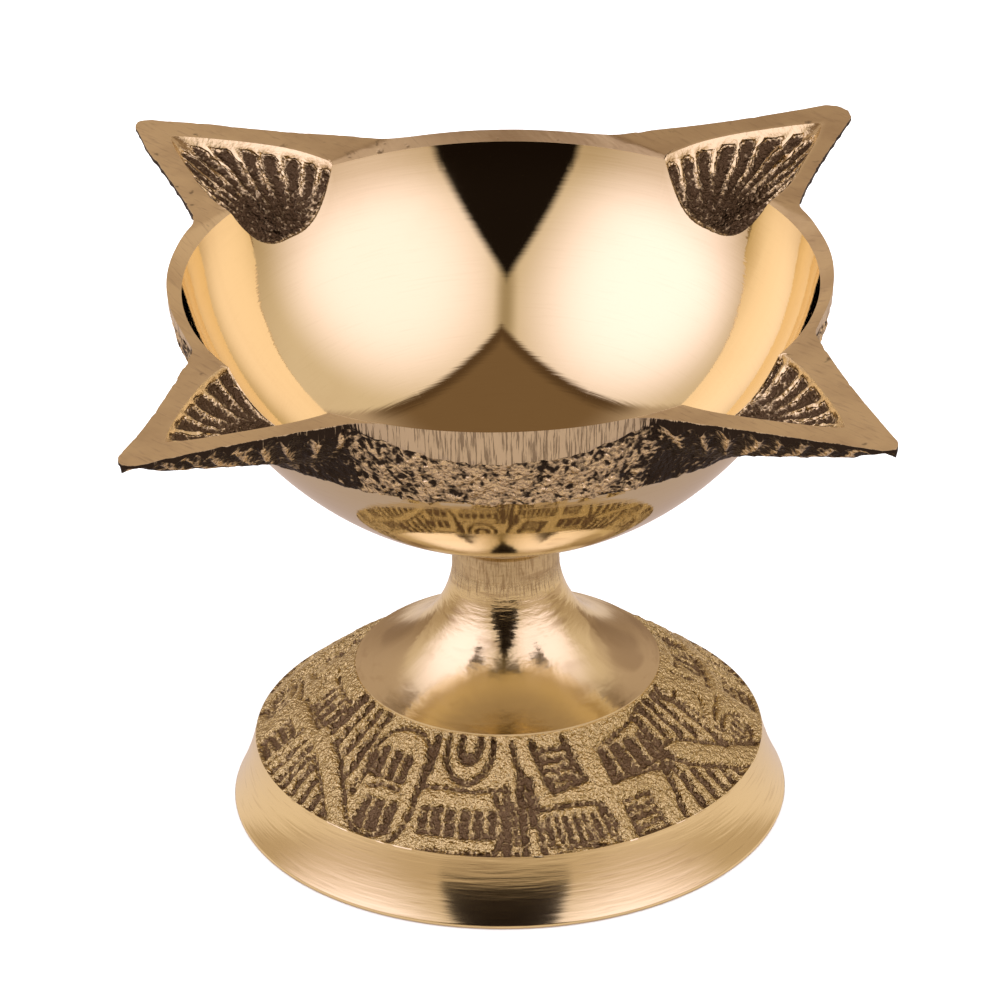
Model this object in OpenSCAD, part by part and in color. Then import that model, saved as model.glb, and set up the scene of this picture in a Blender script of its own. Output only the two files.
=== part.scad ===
// Four-wick brass diya on a screwed pedestal. Millimetres, +Z up,
// origin on the table under the middle of the foot, spouts along X and Y.

/* [Overall] */
// Height from the table to the rim's outer edge
lamp_h = 70.5; // [68:0.5:74]
// Radius of the rim's outer edge
rim_r = 40; // [39:0.5:42]
// Height from the table to the neck's top face
neck_h = 35.2; // [34:0.2:36]

/* [Bowl] */
// Width of the rim's top face, which leans towards the oil
rim_w = 2.2; // [1.8:0.1:2.6]
// How far the rim's inner edge lies below its outer edge
rim_drop = 1.3; // [0.6:0.1:1.6]
// Radius of the bowl's polished underside
under_r = 39.7; // [39.2:0.1:40.2]
// Thickness of the bowl's bottom, above the boss
bottom_t = 3; // [2.6:0.1:3.4]
// Height of the rough band left as cast below the rim
band_h = 12; // [9:0.5:13]
// How far the rough band stands proud of the polished underside
band_proud = 0.6; // [0.3:0.1:1]

/* [Spouts] */
// Number of wick spouts
spouts = 4; // [4:1:4]
// Radius from the lamp's axis to a spout's tip
tip_r = 63; // [60:0.5:65]
// How far the spouts' top faces lie below the rim's outer edge
spout_drop = 1.2; // [0.8:0.1:1.6]
// Slope of a spout's keel, in degrees
keel_slope = 17.2; // [16:0.2:18]
// Slope of a spout's flanks seen along the keel, in degrees
flank_spread = 25.5; // [24.5:0.1:26]
// Slope of the wick channel's floor, in degrees
channel_slope = 21.8; // [21:0.1:22.5]
// Radius from the lamp's axis to the channel's outer end
channel_end_r = 54.4; // [53:0.1:55]

/* [Pedestal] */
// Radius of the foot on the table
foot_r = 33.5; // [33:0.1:35]
// Radius of the cast dome's lower edge
dome_r = 30.8; // [30.4:0.1:31]
// Height of the cast dome's lower edge
dome_z = 8.2; // [7.6:0.1:8.6]
// Radius of the polished trumpet's lower edge
trumpet_r = 18.4; // [17.5:0.1:19]
// Height of the polished trumpet's lower edge
trumpet_z = 18.1; // [17.6:0.1:18.6]
// Radius of the neck
neck_r = 6.5; // [6.3:0.1:7]
// Wall thickness over the hollow underside
wall = 2.6; // [2.2:0.1:3]

/* [Screw joint] */
// Diameter of the stud's thread
thread_d = 8; // [7:0.5:8]
// Radial clearance of the thread in the neck
thread_fit = 0.05; // [0.02:0.01:0.1]
// Length of thread that holds in the neck
thread_grip = 7.6; // [7.5:0.1:9]
// Thickness of the seat washer
washer_t = 0.6; // [0.4:0.1:0.8]

/* [Hidden] */
$fn = 128;
eps = 0.01;
arc_steps = 24; // straight runs in a long curved outline
hull_reach = 8; // how far cutters run past what they cut

// rim
rim_in_r = rim_r - rim_w;
rim_in_z = lamp_h - rim_drop;
spout_z = lamp_h - spout_drop;

// bowl: two spheres, the underside and the polished inside, as centre heights and radii
boss_r = neck_r - 0.2;
boss_z = neck_h + washer_t;
bottom_z = boss_z + 1.8;
under_c = bottom_z + under_r;
in_bottom_z = bottom_z + bottom_t;
in_depth = rim_in_z - in_bottom_z;
in_r = (rim_in_r ^ 2 + in_depth ^ 2) / (2 * in_depth);
in_c = in_bottom_z + in_r;
band_z = lamp_h - band_h;

// spout: a cone that lies on its side, cut flat on top and to a point at its tip
tip_t = 1.2; // thickness of the tip
tip_taper = 0.8; // half width gained per unit of length at the point
flank_half = (flank_spread * 2 + 0.2) / 2;
flank_tilt = flank_half - keel_slope;
flank_len = 42; // from the cone's own apex back into the bowl's wall
flank_past = 4.2; // the cone's apex lies this far past the tip
grind_r = 150; // the top faces are ground slightly hollow across

// channel: a slimmer cone whose upper side is level
channel_half = channel_slope / 2;
channel_rise = 10.3; // height of the level side above the spout's top face
channel_past = channel_rise / tan(channel_slope);
channel_len = 50;

// screw joint
stud_r = thread_d / 2;
stud_hole_r = stud_r + thread_fit;
stud_top = in_bottom_z - 1.4;
stud_bottom = neck_h - thread_grip;
hole_bottom = stud_bottom - 0.8;

function curve(p0, p1, p2, n = arc_steps) =
    [for (i = [0:n]) let (t = i / n) (1 - t) ^ 2 * p0 + 2 * t * (1 - t) * p1 + t ^ 2 * p2];

function ball(r, c, z0, z1, n = arc_steps) =
    [for (i = [0:n]) let (z = z0 + (z1 - z0) * i / n) [sqrt(max(r ^ 2 - (c - z) ^ 2, 0)), z]];

function ball_z(r, c, x) = c - sqrt(r ^ 2 - x ^ 2);

// Outer outline of the bowl, from its boss up to the rim
function bowl_outline() = concat(
    [[0, boss_z], [boss_r - 0.3, boss_z], [boss_r, boss_z + 0.3]],
    ball(under_r, under_c, ball_z(under_r, under_c, boss_r), band_z),
    let (r = sqrt(under_r ^ 2 - (under_c - band_z) ^ 2))
        curve([r + band_proud, band_z + 0.2], [rim_r - 0.9, lamp_h - 4.5], [rim_r, lamp_h - 0.6], 10),
    [[rim_r, lamp_h], [rim_in_r, rim_in_z], [0, rim_in_z]]
);

// Outer outline of the pedestal, from the foot up to the neck
function pedestal_outline() = concat(
    [[foot_r, 0]],
    curve([foot_r, 0.2], [foot_r - 2.1, 3.1], [dome_r, dome_z], 10),
    curve([dome_r - 0.3, dome_z + 0.3], [dome_r - 4.2, dome_z + 4], [trumpet_r + 0.2, trumpet_z - 0.3], 10),
    curve([trumpet_r, trumpet_z], [neck_r + 1.2, trumpet_z + 4.2], [neck_r, neck_h - 4]),
    [[neck_r, neck_h]]
);

// Hollow under the foot, open at the table
function hollow_outline() = concat(
    [[0, -hull_reach], [foot_r - wall, -hull_reach], [foot_r - wall, 0.6]],
    curve([foot_r - wall - 0.4, 1], [dome_r - wall, 3.6], [dome_r - wall - 0.6, dome_z - 1.4], 8),
    curve([dome_r - wall - 0.8, dome_z - 1.1], [dome_r - wall - 5, dome_z + 2], [trumpet_r - 3, trumpet_z - 3.4], 8),
    curve([trumpet_r - 5, trumpet_z - 2.6], [trumpet_r - 10, trumpet_z - 1], [0, trumpet_z], 8)
);

// One spout along +X, with its top face left high for grinding
module spout_blank() {
    tip_z = spout_z - tip_t;
    apex = [tip_r + flank_past, 0, tip_z + flank_past * tan(keel_slope)];
    intersection() {
        translate(apex)
            rotate([0, -(90 - flank_tilt), 0])
                cylinder(h = flank_len, r1 = 0, r2 = flank_len * tan(flank_half));
        linear_extrude(lamp_h)
            polygon([
                [rim_in_r - 8, -16], [tip_r - 20, -16], [tip_r - 20, -20 * tip_taper],
                [tip_r, 0], [tip_r - 20, 20 * tip_taper], [tip_r - 20, 16], [rim_in_r - 8, 16]
            ]);
    }
}

// Wick channel along +X, from the inside of the bowl up to its end on the top face
module channel() {
    translate([channel_end_r + channel_past, 0, spout_z + channel_rise])
        rotate([0, -(90 + channel_half), 0])
            cylinder(h = channel_len, r1 = 0, r2 = channel_len * tan(channel_half));
}

module bowl() {
    color("#c79a4b")
        difference() {
            union() {
                rotate_extrude() polygon(bowl_outline());
                for (i = [0:spouts - 1]) rotate([0, 0, 360 / spouts * i]) spout_blank();
            }
            // polished inside
            rotate_extrude()
                polygon(concat(
                    ball(in_r, in_c, in_bottom_z, rim_in_z),
                    [[rim_in_r, lamp_h + hull_reach], [0, lamp_h + hull_reach]]
                ));
            for (i = [0:spouts - 1]) rotate([0, 0, 360 / spouts * i]) channel();
            // top faces of the spouts, one grinding pass for each opposite pair
            for (a = [0, 90])
                rotate([0, 0, a])
                    translate([-tip_r - hull_reach, 0, spout_z + grind_r])
                        rotate([0, 90, 0])
                            cylinder(h = 2 * (tip_r + hull_reach), r = grind_r, $fn = 256);
            // hole for the stud
            translate([0, 0, boss_z - 1]) cylinder(h = stud_top - boss_z + 1, r = stud_r + 0.02);
        }
}

// Headless stud that stays in the bowl's boss and screws into the neck
module threaded_stud() {
    color("#b98c3f")
        rotate_extrude()
            polygon([
                [0, stud_bottom], [stud_r - 0.8, stud_bottom], [stud_r, stud_bottom + 0.8],
                [stud_r, stud_top - 0.5], [stud_r - 0.5, stud_top], [0, stud_top]
            ]);
}

// Thin ring that the bowl's boss is screwed down on
module seat_washer() {
    color("#a98449")
        translate([0, 0, neck_h])
            difference() {
                cylinder(h = washer_t, r = boss_r - 0.1);
                translate([0, 0, -1]) cylinder(h = washer_t + 2, r = stud_r + 0.3);
            }
}

module pedestal() {
    color("#c2954a")
        difference() {
            rotate_extrude() polygon(concat([[0, 0]], pedestal_outline(), [[0, neck_h]]));
            rotate_extrude() polygon(hollow_outline());
            // tapped hole in the neck
            translate([0, 0, hole_bottom]) cylinder(h = neck_h - hole_bottom + 1, r = stud_hole_r);
        }
}

bowl();
threaded_stud();
seat_washer();
pedestal();
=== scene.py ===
import bpy
import math
import numpy as np
from mathutils import Matrix, Vector, noise


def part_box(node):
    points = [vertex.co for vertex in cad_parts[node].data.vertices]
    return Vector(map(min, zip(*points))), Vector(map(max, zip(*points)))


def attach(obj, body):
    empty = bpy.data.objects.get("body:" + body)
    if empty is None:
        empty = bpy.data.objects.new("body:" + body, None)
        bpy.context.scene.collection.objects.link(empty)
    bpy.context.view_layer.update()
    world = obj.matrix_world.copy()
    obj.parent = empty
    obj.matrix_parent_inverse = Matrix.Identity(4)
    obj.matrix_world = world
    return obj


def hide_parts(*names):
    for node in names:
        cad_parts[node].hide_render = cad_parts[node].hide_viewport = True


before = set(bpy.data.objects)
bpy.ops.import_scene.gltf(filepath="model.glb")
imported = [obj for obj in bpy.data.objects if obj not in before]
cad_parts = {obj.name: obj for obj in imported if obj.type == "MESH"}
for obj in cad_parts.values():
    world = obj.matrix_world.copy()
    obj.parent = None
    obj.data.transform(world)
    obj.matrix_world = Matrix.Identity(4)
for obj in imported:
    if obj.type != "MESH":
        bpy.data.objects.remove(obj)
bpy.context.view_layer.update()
print("frame loaded:", ", ".join(sorted(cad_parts)))

mm = 0.001
farOff = 100.0  # millimetres, beyond every part
bowlLow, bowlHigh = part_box("bowl")
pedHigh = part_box("pedestal")[1]
studLow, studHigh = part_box("threaded_stud")
washerLow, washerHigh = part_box("seat_washer")
frontAngle = -45.57  # the lamp's front middle, between the spouts on +X and -Y, in degrees


class Value:  # a socket that takes maths written as a Python expression
    def __init__(self, tree, socket):
        self.tree, self.socket = tree, socket

    def maths(self, operation, *inputs):
        return self.tree.node("ShaderNodeMath", {"operation": operation}, dict(enumerate(inputs)))

    def __add__(self, other):
        return self.maths("ADD", self, other)

    def __radd__(self, other):
        return self.maths("ADD", other, self)

    def __sub__(self, other):
        return self.maths("SUBTRACT", self, other)

    def __rsub__(self, other):
        return self.maths("SUBTRACT", other, self)

    def __mul__(self, other):
        return self.maths("MULTIPLY", self, other)

    def __rmul__(self, other):
        return self.maths("MULTIPLY", other, self)

    def __truediv__(self, other):
        return self.maths("DIVIDE", self, other)

    def __rtruediv__(self, other):
        return self.maths("DIVIDE", other, self)

    def __pow__(self, other):
        return self.maths("POWER", self, other)

    def __abs__(self):
        return self.maths("ABSOLUTE", self)

    def smaller(self, other):
        return self.maths("MINIMUM", self, other)

    def larger(self, other):
        return self.maths("MAXIMUM", self, other)


class Tree:
    def __init__(self, nodeTree):
        self.nodes, self.links = nodeTree.nodes, nodeTree.links

    def node(self, kind, settings=None, inputs=None, output=0):
        made = self.nodes.new(kind)
        for key, value in (settings or {}).items():
            setattr(made, key, value)
        for key, value in (inputs or {}).items():
            if isinstance(value, Value):
                self.links.new(value.socket, made.inputs[key])
            else:
                made.inputs[key].default_value = value
        return Value(self, made.outputs[output]) if len(made.outputs) else None

    def step(self, x, low, high):
        return self.node("ShaderNodeMapRange", {"interpolation_type": "SMOOTHSTEP"},
                         {"Value": x, "From Min": low, "From Max": high})

    def mix(self, amount, a, b):
        return self.node("ShaderNodeMix", {"data_type": "RGBA"}, {0: amount, 6: a, 7: b}, 2)

    def part(self, vector, axis):
        return self.node("ShaderNodeSeparateXYZ", {}, {0: vector}, axis)


def material(name):
    made = bpy.data.materials.new(name)
    made.use_nodes = True
    made.node_tree.nodes.clear()
    return made, Tree(made.node_tree)


def finishBrass(tree, colour, roughness, normal=None, metallic=1.0, turned=0.0):
    inputs = {"Base Color": colour, "Roughness": roughness, "Metallic": metallic}
    if normal is not None:
        inputs["Normal"] = normal
    if turned:  # highlights spread across the turning lines
        inputs["Anisotropic"], inputs["Anisotropic Rotation"] = turned, 0.25
    shader = tree.node("ShaderNodeBsdfPrincipled", {}, inputs)
    tree.node("ShaderNodeOutputMaterial", {}, {"Surface": shader})


def objectPoint(tree):
    return tree.node("ShaderNodeTexCoord", {}, {}, 3)


def spun(tree, point, around, upward):
    # coordinates that run round the axis and out along the outline, for turning lines and file strokes
    x, y, z = (tree.part(point, i) for i in range(3))
    radius = (x * x + y * y) ** 0.5 + 0.00001
    along = (z + radius * 0.7) * upward
    return tree.node("ShaderNodeCombineXYZ", {}, {0: x / radius * around, 1: y / radius * around, 2: along})


def noiseAt(tree, vector, scale, detail=3.0, rough=0.5):
    return tree.node("ShaderNodeTexNoise", {},
                     {"Vector": vector, "Scale": scale, "Detail": detail, "Roughness": rough})


def bump(tree, height, distance, strength=1.0, normal=None):
    inputs = {"Height": height, "Distance": distance, "Strength": strength}
    if normal is not None:
        inputs["Normal"] = normal
    return tree.node("ShaderNodeBump", {}, inputs)


def attribute(tree, name):
    return tree.node("ShaderNodeAttribute", {"attribute_name": name}, {}, 2)


brassLook = {
    "polished": (0.80, 0.68, 0.41, 1),
    "stained": (0.66, 0.51, 0.27, 1),
    "turned": (0.78, 0.65, 0.38, 1),
    # painted light: the foot tint is a lighter copy of the turned brass, to make the skirt look brighter
    "foot": (0.91, 0.77, 0.46, 1),
    "ground": (0.82, 0.67, 0.36, 1),
    "groundDark": (0.58, 0.44, 0.23, 1),
    "groundStrokes": (0.42, 0.30, 0.16, 1),
    "filed": (0.84, 0.70, 0.45, 1),
    "fileMarks": (0.22, 0.16, 0.10, 1),
    "skin": (0.78, 0.63, 0.35, 1),
    "reliefSkin": (0.66, 0.53, 0.245, 1),
    "bandSkin": (0.86, 0.69, 0.41, 1),
    "patina": (0.105, 0.068, 0.034, 1),
    "reliefPatina": (0.22, 0.150, 0.076, 1),
    "blackPatina": (0.050, 0.036, 0.024, 1),
}


def polishedBrass(name, roughness, lines, tint, turned=0.0, fileFrom=None):
    # turned and buffed: faint rings round the axis, soft stains and, above fileFrom, upright file strokes
    made, tree = material(name)
    point = objectPoint(tree)
    rings = noiseAt(tree, spun(tree, point, 0.0016, 1), 3300, 2)
    wideRings = noiseAt(tree, spun(tree, point, 0.0010, 1), 900, 2)
    stains = tree.step(noiseAt(tree, point, 70, 4), 0.56, 0.80)
    colour = tree.mix(stains * 0.25, tint, brassLook["stained"])
    colour = tree.mix(tree.step(rings, 0.54, 0.74) * (0.35 * min(lines, 1)), colour, brassLook["groundDark"])
    broad = tree.step(wideRings, 0.54, 0.64) * (0.45 * max(lines - 1, 0))
    colour = tree.mix(broad, colour, brassLook["groundStrokes"])
    rough = roughness + stains * 0.03 + rings * (lines * 0.04)
    normal = bump(tree, rings * 0.5 + wideRings, 0.000016 * (1 + lines), lines)
    if fileFrom:
        strokes = noiseAt(tree, spun(tree, point, 0.20, 3.2), 150, 4, 0.65)
        zone = tree.step(tree.part(point, 2) + (strokes - 0.5) * 0.006, fileFrom - 0.0014, fileFrom + 0.0012)
        marks = tree.step(strokes, 0.46, 0.62)
        colour = tree.mix(zone * (0.15 + marks * 0.65), colour, brassLook["groundStrokes"])
        rough = rough + zone * 0.16
        normal = bump(tree, strokes * zone, 0.00012, 0.8, normal)
    finishBrass(tree, colour, rough, normal, 1.0, turned)
    return made


def groundBrass(name):
    # flat faces ground by hand: short straight strokes and small nicks
    made, tree = material(name)
    point = objectPoint(tree)
    stretched = tree.node("ShaderNodeMapping", {},
                          {"Vector": point, "Rotation": (0, 0, 0.6), "Scale": (1, 6, 1)})
    strokes = noiseAt(tree, stretched, 300, 4, 0.6)
    blotches = noiseAt(tree, point, 130, 4, 0.6)
    nicks = tree.step(noiseAt(tree, point, 420, 3), 0.66, 0.76)
    dullAndShade = attribute(tree, "hollow")  # some faces were ground cleaner than others, and the faces at the back are darkened as painted shade
    amount = tree.step(blotches, 0.38, 0.72) * 0.5 + dullAndShade * 0.7
    # the mix towards groundDark is partly random blotches and partly painted shade on the back faces
    colour = tree.mix(amount.smaller(1), brassLook["ground"], brassLook["groundDark"])
    colour = tree.mix(tree.step(strokes, 0.52, 0.74) * 0.45, colour, brassLook["groundStrokes"])
    colour = tree.mix(nicks * 0.7, colour, brassLook["patina"])
    rough = 0.56 - dullAndShade * 0.20 + (strokes - 0.5) * 0.2
    finishBrass(tree, colour, rough, bump(tree, strokes - nicks, 0.00006, 0.6))
    return made


def filedBrass(name):
    # faces filed upright: bright upright scratches, and dark skin where the file didn't reach
    made, tree = material(name)
    point = objectPoint(tree)
    hollow = attribute(tree, "hollow")
    strokes = noiseAt(tree, spun(tree, point, 1.7, 2.2), 115, 3, 0.6)
    broad = noiseAt(tree, spun(tree, point, 0.25, 2.0), 115, 2)
    grains = noiseAt(tree, point, 1900, 2, 0.6)
    lines = tree.step(strokes + (broad - 0.5) * 0.25, 0.50, 0.60)
    skinned = tree.step(hollow * 0.62 + strokes + (grains - 0.5) * 0.12, 0.86, 1.00)
    colour = tree.mix(lines * 0.72, brassLook["filed"], brassLook["fileMarks"])
    colour = tree.mix(skinned, colour, brassLook["blackPatina"])
    height = lines * -0.5 + strokes - skinned * 0.5
    finishBrass(tree, colour, 0.30 + skinned * 0.3, bump(tree, height, 0.00012, 0.8))
    return made


def castBrass(name, skin, patina, grain, grit=0.9, patinaAt=0.5, softness=0.2, relief=0.0003, rubbed=0.0):
    # sand-cast: sparkling pebbled skin, and dark patina left in the hollows and between the grains; on the
    # bowl's rough band the same darkening also paints shade near the spouts and under the rim
    made, tree = material(name)
    point = objectPoint(tree)
    hollow = attribute(tree, "hollow")
    grains = noiseAt(tree, point, grain, 1.5, 0.55)
    coarser = noiseAt(tree, point, grain * 0.4, 2)
    clouds = noiseAt(tree, point, 140, 3)
    mottle = (clouds - 0.5) * 0.45 + (grains - 0.5) * grit + (coarser - 0.5) * (grit * 0.6)
    dark = tree.step(hollow + mottle, patinaAt - softness, patinaAt + softness)
    colour = tree.mix(dark, skin, patina)
    worn = tree.step(hollow, 0.0, 0.3) * rubbed + (1 - rubbed)  # high places are rubbed smooth
    bumps = bump(tree, (grains * -1 - coarser * 0.8) * worn, relief, 1.0)
    finishBrass(tree, colour, 0.27 + dark * 0.25, bumps)
    return made


mirrorBrass = polishedBrass("mirror_brass", 0.03, lines=0.20, tint=brassLook["polished"])
underBrass = polishedBrass("under_brass", 0.03, lines=0.40, tint=brassLook["polished"])
# turned brass with the lighter foot tint: painted light, most of all on the skirt
turnedBrass = polishedBrass("turned_brass", 0.11, lines=1.0, tint=brassLook["foot"], turned=0.85)
trumpetBrass = polishedBrass("trumpet_brass", 0.10, lines=2.0, tint=brassLook["turned"], turned=0.85,
                             fileFrom=0.0312)
flatBrass = groundBrass("ground_brass")
fileBrass = filedBrass("filed_brass")
spoutBrass = castBrass("cast_brass", brassLook["skin"], brassLook["patina"],
                       grain=2100, grit=1.2, patinaAt=0.50, softness=0.26, relief=0.0004, rubbed=0.85)
roughBrass = castBrass("rough_cast_brass", brassLook["bandSkin"], brassLook["blackPatina"],
                       grain=1500, grit=1.8, patinaAt=0.52, softness=0.26, relief=0.0007)
reliefBrass = castBrass("relief_brass", brassLook["reliefSkin"], brassLook["reliefPatina"],
                        grain=2500, grit=1.7, patinaAt=0.55, softness=0.26, relief=0.00055)
hollowBrass = castBrass("hollow_brass", brassLook["stained"], brassLook["patina"], grain=900)
threadBrass = polishedBrass("thread_brass", 0.26, lines=0.6, tint=brassLook["ground"])
washerBrass = polishedBrass("washer_brass", 0.34, lines=0.8, tint=brassLook["stained"])
print("materials made")


def linked(name, data):
    made = bpy.data.objects.new(name, data)
    bpy.context.scene.collection.objects.link(made)
    return made


def smoothStep(x, low, high):
    t = np.clip((x - low) / (high - low), 0, 1)
    return t * t * (3 - 2 * t)


def softMin(a, b, width):
    h = np.clip(0.5 + 0.5 * (b - a) / width, 0, 1)
    return b * (1 - h) + a * h - width * h * (1 - h)


def bezier(p0, p1, p2, count):
    t = np.linspace(0, 1, count)[:, None]
    p0, p1, p2 = (np.array(p, float) for p in (p0, p1, p2))
    return (1 - t) ** 2 * p0 + 2 * t * (1 - t) * p1 + t ** 2 * p2


def grainAt(points, size, octaves=3, seed=0.0):
    # smooth random lumps at points in millimetres, about -1 to 1, the same on every run
    shift = Vector((seed, seed * 0.7, -seed))
    flat = points.reshape(-1, 3) / size
    out = np.fromiter((noise.fractal(Vector(p) + shift, 0.9, 2.1, octaves) for p in flat), float, len(flat))
    return out.reshape(points.shape[:-1])


class Lathe:  # rings of points from the axis out and back to the axis, joined into one closed skin
    def __init__(self):
        self.points, self.hollow, self.faces, self.slots = [], [], [], []
        self.last, self.total = None, 0

    def ring(self, points, slot=0, hollow=0.0):
        # points is (n, 3) in millimetres; slot is the material of the strip that ends at this ring
        points = np.atleast_2d(points)
        n = len(points)
        self.points.append(points)
        self.hollow.append(np.broadcast_to(hollow, n))
        now = (self.total, n)
        self.total += n
        if self.last:
            self.join(*self.last, *now)
            fresh = len(self.faces) - len(self.slots)
            self.slots += [int(v) for v in slot[:fresh]] if np.ndim(slot) else [slot] * fresh
        self.last = now

    def join(self, a, m, b, n):
        # faces between the ring of m points from number a and the ring of n points from number b
        few, many = min(m, n), max(m, n)
        if few == 1:
            for j in range(many):
                k = (j + 1) % many
                self.faces.append((a, b + j, b + k) if m == 1 else (a + j, b, a + k))
            return
        q = many // few
        for j in range(few):
            k = (j + 1) % few
            run = [*range(q * j, q * j + q), q * k]
            if m <= n:
                self.faces.append((a + j, *(b + i for i in run), a + k))
            else:
                self.faces.append((*(a + i for i in run[::-1]), b + j, b + k))

    def build(self, name, materials, sharpAngle=48):
        mesh = bpy.data.meshes.new(name)
        mesh.from_pydata((np.concatenate(self.points) * mm).tolist(), [], self.faces)
        mesh.polygons.foreach_set("material_index", self.slots)
        layer = mesh.attributes.new("hollow", "FLOAT", "POINT")
        layer.data.foreach_set("value", np.concatenate(self.hollow).astype(np.float32))
        for made in materials:
            mesh.materials.append(made)
        mesh.shade_smooth()
        mesh.set_sharp_from_angle(angle=math.radians(sharpAngle))
        return linked(name, mesh)


def around(radius, height, angles):
    return np.stack(np.broadcast_arrays(radius * np.cos(angles), radius * np.sin(angles), height), -1)


bowlShape = {
    "columnsPerSpout": 152, "columnsBetween": 108,  # the smooth zones use a quarter of them
    "spoutSector": 17.5,      # degrees either side of a spout
    "rimRadius": 40.0,
    "rimWidth": 2.2,
    "rimDrop": 1.3,
    "spoutDrop": 1.2,         # spout tops below the rim's outer edge
    "underRadius": 39.7,
    "underFlare": 1.1,        # the polished underside opens out below the rough band
    "bottomThickness": 3.0,
    "bandHeight": 12.0,
    "bandProud": 0.6,
    # metal filed off the rim between the spouts: in front, then on the right, the back and the left
    "filed": (1.1, 0.5, 0.7, 0.4),
    "fileDepth": 4.4,                 # how far down the file reached where it took the most
    "tips": (62.5, 62.0, 62.9, 62.0),       # spout lengths from the axis, on +X, +Y, -X and -Y
    "tipRounding": (0.6, 2.2, 0.6, 0.9),
    "skew": (0.2, 0.5, -1.1, -0.7),         # each channel leans a little to one side
    "mouthShift": (0.0, -0.8, 0.0, 0.0),    # and so does its mouth
    "edgeShift": (0.2, 1.2, -1.3, -0.5),    # and the spout's outline
    "widen": (0.2, 0.1, 1.0, -0.3),         # metal added on both sides of a spout
    "channelEnds": (54.6, 57.0, 57.0, 54.8),
    "keelSlope": 17.2,
    "wall": (0.8, 0.55, 0.55, 0.8), "wallGrowth": (0.055, 0.012, 0.012, 0.055),  # upright sides of the spouts
    "teeth": (1.0, 0.45, 0.45, 1.0),        # how deep the scallops under the spouts are
    # how dull the ground faces are, at angles round the rim; the darker colour this gives at the back is
    # painted shade, for the dim roof those faces reflect
    "dullAndShade": ((0, 0), (45, 0.1), (80, 0.6), (100, 0.7), (135, 1), (165, 0.3), (180, 0), (270, 0.1),
             (315, 0.4), (360, 0)),
    "fluteStart": (0.17, 0.32, 0.32, 0.17),   # how far below the top face the flutes begin
    "channelDepth": 6.3,
    "channelHalfWidth": 8.9,
    "mouth": 35.4,            # the ribs run together here
    "ribSpacing": 3.0,        # along the spout's edge
    "ribDepth": 0.62,
    "roughness": 0.42,        # height of the lumps on the band left as cast
    "bossRadius": 6.3,
    "sharpAngle": 36,
    # rings of faces on each stretch of the skin, from the inside out and under
    "insideRings": 32, "channelRings": 28, "topRings": 5, "edgeRings": 7, "skinRings": 32, "underRings": 32,
}


def spoutFrame(x, y):
    # each point's nearest spout, and its place along it, across its channel and across its outline
    turn = np.round(np.arctan2(y, x) / (math.pi / 2)).astype(int)
    a = turn * (math.pi / 2)
    turn = turn % 4
    along = x * np.cos(a) + y * np.sin(a)
    across = y * np.cos(a) - x * np.sin(a)
    out = smoothStep(along, 34, 50)
    lean = np.array(bowlShape["skew"])[turn] * out + np.array(bowlShape["mouthShift"])[turn] * (1 - out)
    edgeLean = np.array(bowlShape["edgeShift"])[turn] * smoothStep(along, 30, 42)
    return turn, along, across - lean, across - edgeLean


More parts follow.
